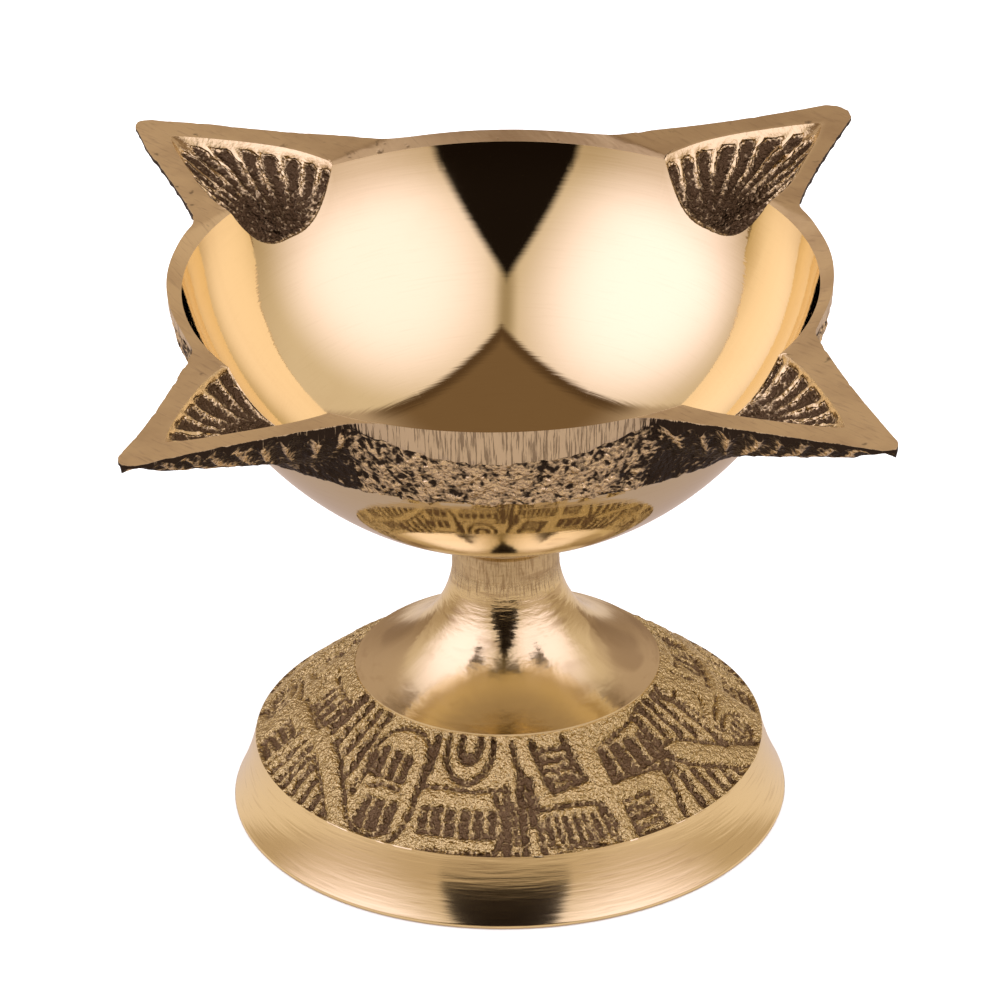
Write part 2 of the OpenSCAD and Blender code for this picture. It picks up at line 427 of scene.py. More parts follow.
def makeBowl():
    s = bowlShape
    top, neckTop = bowlHigh.z / mm, bowlLow.z / mm
    rimIn, rimInZ = s["rimRadius"] - s["rimWidth"], top - s["rimDrop"]
    spoutZ = top - s["spoutDrop"]
    bottomZ = neckTop + 1.8
    underCentre = bottomZ + s["underRadius"]
    insideBottom = bottomZ + s["bottomThickness"]
    depth = rimInZ - insideBottom
    insideRadius = (rimIn ** 2 + depth ** 2) / (2 * depth)
    insideCentre = insideBottom + insideRadius
    bandZ = top - s["bandHeight"]
    ringRadius = math.sqrt(s["underRadius"] ** 2 - (underCentre - bandZ) ** 2)
    tips, rounding, widen = (np.array(s[key]) for key in ("tips", "tipRounding", "widen"))
    ends = np.array(s["channelEnds"])
    keel = math.tan(math.radians(s["keelSlope"]))
    sector = s["spoutSector"]
    quarterTurn = np.concatenate([np.linspace(-sector, sector, s["columnsPerSpout"], endpoint=False),
                                  np.linspace(sector, 90 - sector, s["columnsBetween"], endpoint=False)])
    degrees = np.concatenate([quarterTurn + 90 * i for i in range(4)])
    angle = np.radians(degrees)

    def flatZ(v):
        return spoutZ + v ** 2 / 300

    def halfWidth(turn, u):
        # half the spout's width at the top, at u along it
        left = np.maximum(tips[turn] - u, 0)
        side = 0.75 + 0.42 * left + 0.0035 * left ** 2 + widen[turn] * smoothStep(left, 0, 8)
        point = np.sqrt(2 * rounding[turn] * left) + 0.46 * left
        return np.minimum(side + 0.5 * rounding[turn], point)

    def channelHalf(turn, u):
        grown = 0.9 * np.maximum(ends[turn] - u, 0) ** 0.82
        return np.maximum(softMin(grown, s["channelHalfWidth"] - 0.08 * (u - 36), 1.6), 0)

    def channelDepth(turn, u, v):
        # how far the wick channel's floor lies under the top face; nothing outside the channel
        deep = s["channelDepth"] * np.clip((ends[turn] - u) / (ends[turn] - s["mouth"]), 0, 1.3) ** 0.95
        half = np.maximum(channelHalf(turn, u), 0.01)
        return deep * np.maximum(1 - (np.abs(v) / half) ** 2.8, 0)

    def ribPlace(turn, u, v, half):
        # where along the edge the rib through this point comes out; ribs run out from the channel's mouth
        ray = np.arctan2(np.abs(v), np.maximum(u - s["mouth"] + 1.2, 0.2))
        edge = np.linspace(35.4, 62.5, 140)
        place = np.zeros_like(u)
        for i in range(4):
            rays = np.arctan2(half(np.full(edge.shape, i), edge), edge - s["mouth"] + 1.2)
            here = turn == i
            place[here] = np.interp(ray[here], rays[::-1], edge[::-1])
        return place

    def flute(turn, u, v, half):
        # 1 along the middle of a flute, 0 on the sharp crest between two
        wander = 0.5 * np.sin(2.1 * turn + 1.3 * np.sign(v)) + 0.25 * np.sin(0.9 * u + turn)
        across = ((ribPlace(turn, u, v, half) + wander) / s["ribSpacing"]) % 1.0
        return 1 - np.abs(2 * across - 1) ** 2.2

    # outline of the rim and spouts: for each column the furthest point that is metal
    reach = np.linspace(36, tips.max() + 0.5, 1400)
    grid = around(reach[None, :], 0, angle[:, None])
    turn, u, _, beside = spoutFrame(grid[..., 0], grid[..., 1])
    metal = np.abs(beside) < halfWidth(turn, u)
    spoutReach = np.where(metal, reach[None, :], 0).max(1)
    fromFront = (degrees - frontAngle + 45) % 90 - 45
    quarter = ((degrees - frontAngle + 45) // 90).astype(int) % 4
    share = np.array(s["filed"])[quarter] / max(s["filed"])
    bay = np.clip(1 - (np.abs(fromFront) / 28) ** 2, 0, 1)
    circle = s["rimRadius"] - max(s["filed"]) * share * smoothStep(bay, 0, 0.75)
    circle = circle - 0.12 * np.abs(grainAt(around(20.0, 0, angle), 9, 2, 3))
    outline = -softMin(-spoutReach, -circle, 0.7)
    inSpout = smoothStep(outline, 40.3, 42.0)
    nick = grainAt(around(outline, 0, angle), 2.0, 3, 11)
    outline = outline - np.maximum(nick - 0.1, 0) * 0.5 * inSpout

    def topZ(radius):
        p = around(radius, 0, angle if np.ndim(radius) < 2 else angle[:, None])
        _, _, vv, _ = spoutFrame(p[..., 0], p[..., 1])
        rim = rimInZ + (radius - rimIn) * s["rimDrop"] / s["rimWidth"]
        return softMin(np.minimum(rim, top), flatZ(vv), 0.15)

    # where the polished inside stops, and where the channel comes out on the top face
    scan = np.linspace(33.5, 58, 980)
    p = around(scan[None, :], 0, angle[:, None])
    turnScan, uu, vv, _ = spoutFrame(p[..., 0], p[..., 1])
    roof = topZ(np.broadcast_to(scan[None, :], uu.shape))
    deep = channelDepth(turnScan, uu, vv)
    inside = scan < rimIn
    sphere = insideCentre - np.sqrt(np.maximum(insideRadius ** 2 - scan ** 2, 0))
    sphere = np.where(inside, sphere, farOff)[None, :]
    cutsSphere = (deep > 0) & (flatZ(vv) - deep < sphere) & (scan > s["mouth"] - 1)[None, :]
    mouth = np.minimum(np.where(cutsSphere, scan[None, :], farOff).min(1), rimIn)
    inChannel = (deep > 0.02) & (flatZ(vv) - deep < roof)
    channelOut = np.where(inChannel, scan[None, :], 0).max(1)
    hasChannel = channelOut > mouth + 0.15
    channelOut = np.where(hasChannel, channelOut, rimIn + 0.25 * (outline - rimIn))
    channelOut = np.clip(channelOut, mouth + 0.12, np.maximum(outline - 1.0, mouth + 0.2))

    # dullness and painted shade of the ground faces, round the rim
    dullAndShade = np.interp(degrees % 360, *np.array(s["dullAndShade"], float).T)
    lathe = Lathe()
    coarse = slice(None, None, 4)
    lathe.ring([[0, 0, insideBottom]])
    for i in range(1, s["insideRings"] + 1):
        t = i / s["insideRings"]
        pick = slice(None) if i > s["insideRings"] - 3 else coarse
        swing = t * np.arcsin(mouth[pick] / insideRadius)
        radius = insideRadius * np.sin(swing)
        lathe.ring(around(radius, insideCentre - insideRadius * np.cos(swing), angle[pick]), 0)
    # channel floor with its flutes, or the inner part of the rim's face
    for i in range(1, s["channelRings"] + 1):
        t = 1 - (1 - i / s["channelRings"]) ** 1.3
        radius = mouth + (channelOut - mouth) * t
        p = around(radius, 0, angle)
        turnNow, uu, vv, _ = spoutFrame(p[:, 0], p[:, 1])
        roof = topZ(radius)
        floor = np.minimum(flatZ(vv) - channelDepth(turnNow, uu, vv), roof)
        down = roof - floor
        groove = flute(turnNow, uu, vv, channelHalf)
        lump = grainAt(around(radius, floor, angle), 0.8, 3, 5)
        start = np.array(s["fluteStart"])[turnNow]
        begun = smoothStep(t, 0.0, 0.1)
        inFlute = groove * smoothStep((down - start) / (start * 2 + 0.15), 0, 1) * begun
        z = floor - s["ribDepth"] * inFlute - 0.22 * lump * smoothStep(down, 0.2, 1.2) * begun
        dark = smoothStep(inFlute, 0.40, 0.75)
        crest = 0.85 * smoothStep(down, 1.6, 5.0) - 0.08
        hollow = 0.85 * dark + (1 - dark) * crest - 0.22 * lump * smoothStep(down, 0.4, 1)
        ring = around(radius, np.where(hasChannel, z, roof), angle)
        lathe.ring(ring, np.where(hasChannel, 1, 2), np.where(hasChannel, np.clip(hollow, 0, 1), dullAndShade))
    # top face out to the edge
    for i in range(1, s["topRings"] + 1):
        radius = channelOut + (outline - channelOut) * i / s["topRings"]
        lathe.ring(around(radius, topZ(radius), angle), 2, dullAndShade)

    # the wall below the edge, filed or ground upright
    bandCurve = bezier((ringRadius + s["bandProud"], bandZ + 0.2), (s["rimRadius"] - 0.9, top - 4.5),
                       (s["rimRadius"], top - 0.6), 60)

    def wall(turnNow, uu):
        grown = np.array(s["wallGrowth"])[turnNow] * np.maximum(tips[turnNow] - uu, 0)
        return np.array(s["wall"])[turnNow] + grown

    def underZ(radius):
        # lowest metal under the spouts and the rim: the fluted keels and the band
        p = around(radius, 0, angle)
        turnNow, uu, flatV, vv = spoutFrame(p[..., 0], p[..., 1])
        half = np.maximum(halfWidth(turnNow, uu), 0.3)
        high = wall(turnNow, uu)
        deep = np.maximum(1.2 + keel * np.maximum(tips[turnNow] - uu, 0), high)
        across = np.clip(np.abs(vv) / half, 0, 1)
        cut = np.minimum(0.85 * high, 1.6) * np.array(s["teeth"])[turnNow]
        cut = cut * flute(turnNow, uu, vv, halfWidth) * smoothStep(across, 0.25, 0.85)
        spout = flatZ(flatV) - high - (deep - high) * (1 - across ** 2) + cut * smoothStep(uu, 38, 43)
        spout = np.where(np.abs(vv) <= half + 0.4, spout, farOff)
        return softMin(spout, np.interp(radius, bandCurve[:, 0], bandCurve[:, 1]), 0.8)

    edgeTop = topZ(outline)
    ragged = grainAt(around(outline, 0, angle), 1.4, 3, 41)
    plainLow = edgeTop - np.maximum(s["fileDepth"] * share * bay ** 0.8 + 0.35 * ragged, 0.25)
    blend = smoothStep(outline, 40.3, 41.6)
    edgeLow = plainLow * (1 - blend) + np.minimum(underZ(outline - 0.02), edgeTop - 0.4) * blend
    leanIn = 0.30 * (1 - blend) * share
    skinned = np.clip(0.10 + 0.95 * blend + 0.9 * (1 - smoothStep(bay, 0.05, 0.45)), 0, 1)
    for i in range(1, s["edgeRings"] + 1):
        t = i / s["edgeRings"]
        lathe.ring(around(outline - leanIn * t, edgeTop + (edgeLow - edgeTop) * t, angle), 3,
                   np.clip(skinned + 0.25 * t ** 4, 0, 1))
    # cast skin: the keels and the rough band, down to the step
    startRadius = outline - leanIn
    stepNoise = grainAt(around(36.0, bandZ, angle), 1.6, 3, 17)
    endRadius, endZ = ringRadius + s["bandProud"] * 0.8, bandZ + 0.15 + 0.22 * stepNoise
    # where the band lies towards a spout, for painted shade
    spoutShade = smoothStep(np.abs(fromFront), 8, 30)
    for i in range(1, s["skinRings"] + 1):
        t = i / s["skinRings"]
        radius = startRadius + (endRadius - startRadius) * t
        z = underZ(radius)
        fade = smoothStep(t, 0.0, 0.08) * (1 - smoothStep(t, 0.94, 1.0))
        join = smoothStep(t, 0, 0.2)
        z = edgeLow * (1 - join) + z * join
        land = smoothStep(t, 0.85, 1)
        z = z * (1 - land) + endZ * land
        p = around(radius, z, angle)
        lumps, grit = grainAt(p, 1.5, 3, 23), grainAt(p, 0.55, 2, 29)
        push = (s["roughness"] * lumps + 0.14 * grit) * fade * (1 - 0.55 * blend)
        # painted shade: the band is darkened towards the spouts and just under the rim's edge, on top of the
        # patina between the lumps
        hollow = 0.36 - 0.22 * lumps - 0.55 * grit + 0.24 * spoutShade + 0.2 * (1 - join)
        turnNow, uu, _, vv = spoutFrame(p[:, 0], p[:, 1])
        crest = (1 - flute(turnNow, uu, vv, halfWidth)) ** 1.5 * (1 - smoothStep(t, 0.3, 0.6))
        # on the keels under the spouts the skin is dark all over, except on the flute crests
        hollow = np.where(blend > 0.5, 0.95 - 0.25 * lumps - 1.05 * crest, hollow)
        lathe.ring(around(radius + push * 0.8, z - push * 0.6, angle), 4, np.clip(hollow, 0, 1))
    lathe.ring(around(ringRadius + 0.03, bandZ - 0.05 + 0.14 * stepNoise, angle), 4, 0.9)
    # polished underside down to the boss
    low = math.asin(math.sqrt(s["underRadius"] ** 2 - (underCentre - bandZ + 0.25) ** 2) / s["underRadius"])
    high = math.asin(s["bossRadius"] / s["underRadius"])
    for i in range(s["underRings"] + 1):
        swing = low + (high - low) * i / s["underRings"]
        z = underCentre - s["underRadius"] * math.cos(swing)
        t = np.clip((z - 44) / (bandZ - 44), 0, 1)
        radius = s["underRadius"] * math.sin(swing) + s["underFlare"] * (t * t - 0.95 * t)
        lathe.ring(around(radius, z, angle if i < 1 else angle[coarse]), 5)
    studRadius = studHigh.x / mm
    boss = s["bossRadius"]
    for radius, z in ((boss, neckTop + 0.3), (boss - 0.3, neckTop), (studRadius + 0.02, neckTop),
                      (studRadius + 0.02, studHigh.z / mm)):
        lathe.ring(around(radius, z, angle[coarse]), 6)
    lathe.ring([[0, 0, studHigh.z / mm]], 6)
    brasses = [mirrorBrass, spoutBrass, flatBrass, fileBrass, roughBrass, underBrass, turnedBrass]
    return lathe.build("oil_bowl", brasses, s["sharpAngle"])


bowl = makeBowl()
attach(bowl, "bowl")
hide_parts("bowl")
print("bowl made:", len(bowl.data.polygons), "faces")


pedestalShape = {
    "columns": 900,           # round the dome; the turned parts use a fifth of them
    "footRadius": 33.5,
    "domeRadius": 30.8, "domeHeight": 8.2,
    "trumpetRadius": 18.4, "trumpetHeight": 18.1,
    "neckRadius": 6.5, "neckLength": 4,   # the straight part
    "wall": 2.6,
    "reliefDepth": 0.85,
    "threadPitch": 1.25,
    "threadDepth": 0.6,
    "threadRings": 56, "neckRings": 12, "trumpetRings": 46, "domeRings": 72, "skirtRings": 30,
    "ridgeRounding": 5,       # passes that round the relief's ridges
}


def threadWave(angles, z, pitch):
    # 0 at the root of a right-hand thread, 1 at its crest
    turns = (z / pitch - angles / (2 * math.pi)) % 1.0
    return np.clip(1.35 - 3.2 * np.abs(turns - 0.5), 0, 1)


def makePedestal():
    s = pedestalShape
    trumpetR, trumpetZ = s["trumpetRadius"], s["trumpetHeight"]
    domeR, domeZ = s["domeRadius"], s["domeHeight"]
    foot, neck = s["footRadius"], s["neckRadius"]
    neckTop = pedHigh.z / mm
    columns = s["columns"]
    angle = np.arange(columns) * 2 * math.pi / columns
    coarse = angle[::5]
    lathe = Lathe()
    boreRadius, boreBottom = studHigh.x / mm + 0.05, studLow.z / mm - 0.8
    lathe.ring([[0, 0, boreBottom]])
    for i in range(s["threadRings"] + 1):
        z = boreBottom + (neckTop - 0.05 - boreBottom) * i / s["threadRings"]
        fade = smoothStep(z, boreBottom + 0.3, boreBottom + 1.2)
        fade = fade * (1 - smoothStep(z, neckTop - 0.9, neckTop - 0.2))
        root = boreRadius - s["threadDepth"] * (1 - threadWave(coarse, z, s["threadPitch"])) * fade
        lathe.ring(around(root, z, coarse), 3)
    lathe.ring(around(boreRadius + 0.3, neckTop, coarse), 3)
    lathe.ring(around(neck - 0.25, neckTop, coarse), 3)
    neckWave = 0.04 * grainAt(around(6.0, 0, coarse), 1.2, 2, 4)
    neckBottom = neckTop - s["neckLength"]
    for z in np.linspace(neckTop - 0.2, neckBottom, s["neckRings"]):
        wave = neckWave * smoothStep(z, neckBottom, neckBottom + 1)
        lathe.ring(around(neck + wave, z, coarse), 0)
    trumpet = bezier((neck, neckBottom), (neck + 1.2, trumpetZ + 4.2),
                     (trumpetR, trumpetZ), s["trumpetRings"])
    for radius, z in trumpet[1:]:
        lathe.ring(around(radius, z, coarse), 0)
    lathe.ring(around(trumpetR + 0.02, trumpetZ - 0.25, angle), 0)
    # dome with its relief
    dome = bezier((trumpetR + 0.2, trumpetZ - 0.3), (domeR - 4.2, domeZ + 4),
                  (domeR - 0.05, domeZ + 0.2), 400)
    slant = np.concatenate([[0], np.cumsum(np.hypot(*np.diff(dome, axis=0).T))])
    rows = s["domeRings"]
    along = np.linspace(0, slant[-1], rows)
    radius, z = np.interp(along, slant, dome[:, 0]), np.interp(along, slant, dome[:, 1])
    outR, outZ = np.gradient(z, along), -np.gradient(radius, along)
    carve = reliefDepth(np.degrees(angle) - frontAngle, along, radius)
    p = around(radius[:, None], z[:, None], angle[None, :])
    lumps = 0.09 * grainAt(p, 1.1, 2, 31) + 0.075 * grainAt(p, 0.5, 1, 37)
    soft = carve
    for _ in range(s["ridgeRounding"]):
        soft = 0.5 * soft + 0.25 * (np.roll(soft, 1, 1) + np.roll(soft, -1, 1))
        edged = np.concatenate([soft[:1], soft, soft[-1:]])
        soft = 0.5 * soft + 0.25 * (edged[:-2] + edged[2:])
    for i in range(rows):
        fade = min(i, rows - 1 - i, 2) / 2
        down = s["reliefDepth"] * (0.35 * carve[i] + 0.65 * soft[i] + 0.06) * fade - lumps[i] * fade
        ring = around(radius[i] + outR[i] * down, z[i] + outZ[i] * down, angle)
        lathe.ring(ring, 1, np.clip(0.55 * carve[i] + 0.45 * soft[i] - 1.6 * lumps[i], 0, 1))
    skirt = bezier((domeR, domeZ), (foot - 1.75, 3.9), (foot, 0.35), s["skirtRings"])
    sole = [(foot - 0.08, 0.1), (foot - 0.35, 0.0), (foot - s["wall"], 0.0), (foot - s["wall"], 0.6)]
    for r, zz in [*skirt, *sole]:
        lathe.ring(around(r, zz, coarse), 2)
    # the hollow underneath, up to the middle
    hollowFoot, hollowDome = foot - s["wall"], domeR - s["wall"]
    inner = np.concatenate([
        bezier((hollowFoot - 0.4, 1), (hollowDome, 3.6), (hollowDome - 0.6, domeZ - 1.4), 8),
        bezier((hollowDome - 0.8, domeZ - 1.1), (hollowDome - 5, domeZ + 2),
               (trumpetR - 3, trumpetZ - 3.4), 14),
        bezier((trumpetR - 5, trumpetZ - 2.6), (trumpetR - 10, trumpetZ - 1), (0.6, trumpetZ), 12),
    ])
    lumps = grainAt(around(inner[:, 0, None], inner[:, 1, None], coarse[None, :]), 3, 3, 8)
    for (r, zz), lump in zip(inner, lumps):
        lathe.ring(around(r + 0.15 * lump * min(1, r / 5), zz + 0.1 * lump * min(1, r / 5), coarse), 4,
                   np.clip(0.35 - 0.6 * lump, 0, 1))
    lathe.ring([[0, 0, trumpetZ]], 4)
    return lathe.build("pedestal_casting",
                       [trumpetBrass, reliefBrass, turnedBrass, turnedBrass, hollowBrass])


# relief: places are degrees round from the lamp's front middle and millimetres down the dome's slope
reliefMotifs = {
    "repeat": 180,
    # carved boxes with bars left standing: angles from and to, heights from and to, bars, and how they lie
    "boxes": [
        (-85.5, -69.6, 2.9, 6.7, 3, "upright"), (-85.4, -77, 10, 15, 3, "level"),
        (-99.5, -91.6, 9.5, 13.4, 3, "upright"), (-43.5, -31.4, 3.7, 7.6, 2, "upright"),
        (-40.4, -30.0, 10.2, 14.3, 2, "upright"), (-23.5, -3.6, 9.3, 13.2, 5, "upright"),
        (29.8, 49.6, 3.0, 7.5, 3, "upright"), (9.6, 20.4, 1.6, 6.1, 3, "level"),
        (8.6, 24.6, 10.4, 14.4, 6, "upright"), (30, 38.8, 10.1, 15.7, 4, "level"),
        (76, 85.6, 10.9, 13.5, 3, "upright"),
    ],
    # grooves between ridges: groove width, then the top and bottom of each groove as angle, height, height
    "hatches": [
        (1.0, (-68.0, 0.4, 5.6), (-65.6, 0.4, 6.0), (-60.6, 0.4, 6.2), (-55.0, 0.4, 7.0),
         (-49.8, 0.4, 9.4)),
        (0.95, (-71.4, 8.8, 15.8), (-67.6, 9.4, 15.8), (-64.8, 10.2, 15.8), (-61.0, 11.0, 15.8),
         (-56.7, 11.9, 15.8), (-52.7, 13.3, 15.8), (-49.0, 14.8, 15.8)),
        (1.05, (50.8, 1.6, 7.4), (55.8, 0.6, 5.2), (60.4, 0.5, 6.4), (65.4, 0.5, 9.0), (70.8, 0.5, 11.4)),
        (0.95, (50.0, 8.8, 15.8), (54.6, 10.6, 15.8), (58.8, 12.1, 15.8), (62.5, 13.2, 15.8),
         (66.7, 14.5, 15.8)), (1.0, (2.9, 5.0, 15.8), (-1.2, 6.4, 15.8)),
        (0.6, (7.3, 11.4, 15.8), (0.9, 8.5, 15.8)), (0.9, (5.4, 5.6, 11.4)),
    ],
    # grooves along curves: width, then corners as angle and height
    "grooves": [
        (0.55, (-61, 6.8), (-56.5, 7.6), (-50, 9.7), (-45.8, 11.8), (-40.4, 14.6), (-34, 15.2),
         (-29.6, 13.6)), (0.5, (-64, 9.7), (-58.3, 10.7), (-53.3, 12.2), (-48.3, 14.3), (-45.8, 15.8)),
        (1.1, (-45.4, 5.2), (-44.6, 8.0), (-44.6, 10.6)), (0.5, (-41, 9.0), (-36, 8.4), (-32, 8.5)),
        (1.0, (-26.6, 0.6), (-25.4, 4.6), (-26.6, 7.6)),
        (0.55, (-46.6, 4.6), (-44.8, 1.6), (-38, 0.5), (-30, 1.0), (-26.8, 3.4)),
        (0.7, (-26.6, 7.4), (-25.8, 10.2), (-27.2, 13.2), (-29.4, 15.8)),
        (0.6, (-27.0, 7.3), (-20, 6.9), (-8, 7.0), (-2.6, 6.6)),
        (0.75, (-4.4, 7.6), (-1.8, 9.6), (-1.9, 12.8), (-4.0, 14.8)),
        (0.5, (-21.6, 15.4), (-12, 15.1), (-3, 15.3)), (0.6, (0.6, 0.8), (3.4, 4.4), (7.4, 9.2)),
        (0.9, (8.0, 0.8), (9.8, 3.8), (12.4, 7.2)), (0.8, (19.4, 0.6), (20.9, 3.2), (22.5, 6.3)),
        (0.75, (12.2, 7.1), (17, 6.9), (22.5, 6.2)), (0.5, (29.4, 3.0), (38, 2.4), (46, 1.7), (54.6, 0.4)),
        (0.5, (30, 7.7), (38, 7.5), (47.6, 8.4)), (0.7, (48.4, 8.0), (45.4, 11.0), (43.8, 15.8)),
        (0.55, (7.4, 9.7), (15, 9.3), (24.6, 9.5), (25.8, 12.6), (25.2, 15.6)),
        (0.6, (46.4, 9.2), (50.0, 6.9), (55.0, 5.8), (60.0, 7.0), (68.0, 10.2), (75.0, 12.5), (83.0, 15.8)),
        (0.55, (51.5, 8.0), (56.7, 10.4), (63.3, 12.7), (71.7, 15.6)),
        (0.5, (9.4, 15.7), (12.5, 14.9), (17, 14.7), (24.4, 15.4)),
        (0.55, (71.6, 1.5), (74.5, 5.8), (74.8, 10.4)), (0.5, (67.6, 0.8), (70.6, 3.4), (76.0, 2.8)),
        (0.5, (74.8, 10.6), (79.0, 9.8), (84.6, 10.0), (87.6, 11.8), (86.2, 13.8), (81.0, 14.4),
         (76.4, 13.4)), (0.5, (76.6, 7.2), (80.2, 6.6), (83.4, 5.2), (83.8, 3.6)),
        (0.5, (77, 9.0), (84, 8.2), (91, 8.6)), (0.5, (86, 1.6), (89.5, 5.0), (96, 6.6)),
        (0.5, (90, 9.6), (93, 12.4), (91, 15.2)), (0.5, (-100, 2.4), (-85, 2.5), (-70.5, 2.2)),
        (0.5, (-100, 7.2), (-86, 7.2), (-71, 7.1)), (0.5, (-76, 8.6), (-74.6, 15.6)),
    ],
    # rings: middle as angle and height, half width in degrees, half height, then from and to as shares
    "rings": [(-13.75, 0.8, 8.3, 5.2, 0.90, 1.08), (-13.75, 0.8, 8.3, 5.2, 0.30, 0.56)],
    "fillets": [
        (0.45, (-39.6, 3.8), (-38.0, 7.4)), (0.45, (-35.4, 3.8), (-34.4, 7.2)),
        (0.4, (-45.8, 6.6), (-44.2, 10.2)),
    ],
}


def reliefDepth(angles, along, radius):
    # how deep the relief is carved, 0 on the raised skin to 1, on a grid of heights by angles
    turn = (np.asarray(angles) + 90) % reliefMotifs["repeat"] - 90
    a, h = np.meshgrid(turn, along)
    scale = (np.pi / 180 * np.asarray(radius))[:, None]  # millimetres in a degree
    p = np.stack([np.broadcast_to(angles, a.shape) * 0.42, h, np.zeros_like(a)], -1)
    wobbleA, wobbleH = grainAt(p, 1.8, 3, 2) * 0.26, grainAt(p, 1.8, 3, 9) * 0.26
    carve = np.zeros_like(a)

    def cut(distance, depth=1.0, soft=0.24):
        # distance is in millimetres, negative inside what is carved away
        np.maximum(carve, depth * (1 - smoothStep(distance, -soft, soft)), out=carve)

    def leave(distance, level=0.2, soft=0.2):
        share = 1 - smoothStep(distance, -soft, soft)
        carve[:] = carve * (1 - share) + np.minimum(carve, level) * share

    def boxDistance(a0, a1, h0, h1, corner=0.4):
        x = np.abs((a - (a0 + a1) / 2) * scale + wobbleA) - (a1 - a0) / 2 * scale + corner
        y = np.abs(h - (h0 + h1) / 2 + wobbleH) - (h1 - h0) / 2 + corner
        return np.hypot(np.maximum(x, 0), np.maximum(y, 0)) + np.minimum(np.maximum(x, y), 0) - corner

    def lineDistance(start, end):
        ax, ay = (a - start[0]) * scale + wobbleA, h - start[1] + wobbleH
        bx, by = (end[0] - start[0]) * scale, end[1] - start[1]
        t = np.clip((ax * bx + ay * by) / np.maximum(bx * bx + by * by, 1e-6), 0, 1)
        return np.hypot(ax - bx * t, ay - by * t)

    def rounded(corners):
        # cuts the corners of a line twice, so that it runs as a curve
        points = np.array(corners, float)
        for _ in range(2):
            before, after = points[:-1], points[1:]
            middle = np.stack([before * 0.75 + after * 0.25, before * 0.25 + after * 0.75], 1)
            points = np.concatenate([points[:1], middle.reshape(-1, 2), points[-1:]])
        return points

    for width, *corners in reliefMotifs["grooves"]:
        points = rounded(corners)
        for start, end in zip(points, points[1:]):
            cut(lineDistance(start, end) - width / 2)
    for width, *lines in reliefMotifs["hatches"]:
        for at, low, high in lines:
            cut(lineDistance((at, low), (at + 0.4, high)) - width / 2)
    for a0, h0, halfA, halfH, inner, outer in reliefMotifs["rings"]:
        ring = np.hypot((a - a0 + wobbleA) / halfA, (h - h0 + wobbleH) / halfH)
        cut((np.abs(ring - (inner + outer) / 2) - (outer - inner) / 2) * 3.4)
    for a0, a1, h0, h1, bars, lie in reliefMotifs["boxes"]:
        cut(boxDistance(a0, a1, h0, h1))
        for i in range(bars):
            t = (i + 0.75) / (bars + 0.5)
            if lie == "level":
                at = h0 + (h1 - h0) * t
                leave(lineDistance((a0 + 1.4, at), (a1 - 1.4, at - 0.2)) - 0.30)
            else:
                at = a0 + (a1 - a0) * t
                leave(lineDistance((at - 0.3, h0 + 0.1), (at + 0.3, h1 - 0.6)) - 0.32)
    for width, *corners in reliefMotifs["fillets"]:
        leave(lineDistance(*corners) - width / 2, 0.1)
    return carve


pedestal = makePedestal()
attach(pedestal, "pedestal")
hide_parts("pedestal")
print("pedestal made:", len(pedestal.data.polygons), "faces")


def groupOf(name, sizes):
    # a node group whose named inputs are its sizes
    group = bpy.data.node_groups.new(name, "GeometryNodeTree")
    for side in ("INPUT", "OUTPUT"):
        group.interface.new_socket("Geometry", in_out=side, socket_type="NodeSocketGeometry")
    for key in sizes:
        group.interface.new_socket(key, in_out="INPUT", socket_type="NodeSocketFloat")
    tree = Tree(group)
    entry = tree.nodes.new("NodeGroupInput")
    return group, tree, {key: Value(tree, entry.outputs[key]) for key in sizes}


def grow(name, group, tree, sizes, shape, made):
    # ends the group, runs it on an empty mesh and keeps the result as a plain mesh
    shape = tree.node("GeometryNodeSetShadeSmooth", {}, {0: shape})
    shape = tree.node("GeometryNodeRealizeInstances", {}, {0: shape})
    shape = tree.node("GeometryNodeSetMaterial", {}, {0: shape, "Material": made})
    tree.node("NodeGroupOutput", {}, {0: shape})
    maker = linked(name + "_maker", bpy.data.meshes.new(name + "_maker"))
    modifier = maker.modifiers.new("grow", "NODES")
    modifier.node_group = group
    for item in group.interface.items_tree:
        if item.in_out == "INPUT" and item.name in sizes:
            modifier[item.identifier] = float(sizes[item.name])
    mesh = bpy.data.meshes.new_from_object(maker.evaluated_get(bpy.context.evaluated_depsgraph_get()))
    bpy.data.objects.remove(maker)
    mesh.name = name
    mesh.set_sharp_from_angle(angle=math.radians(35))
    return linked(name, mesh)


def straight(tree, low, high, count):
    ends = [tree.node("ShaderNodeCombineXYZ", {}, {2: place}) for place in (low, high)]
    line = tree.node("GeometryNodeCurvePrimitiveLine", {}, {"Start": ends[0], "End": ends[1]})
    return tree.node("GeometryNodeResampleCurve", {}, {0: line, "Count": count})


def swept(tree, path, profile, scale=1.0, caps=True):
    return tree.node("GeometryNodeCurveToMesh", {}, {0: path, 1: profile, "Scale": scale, "Fill Caps": caps})


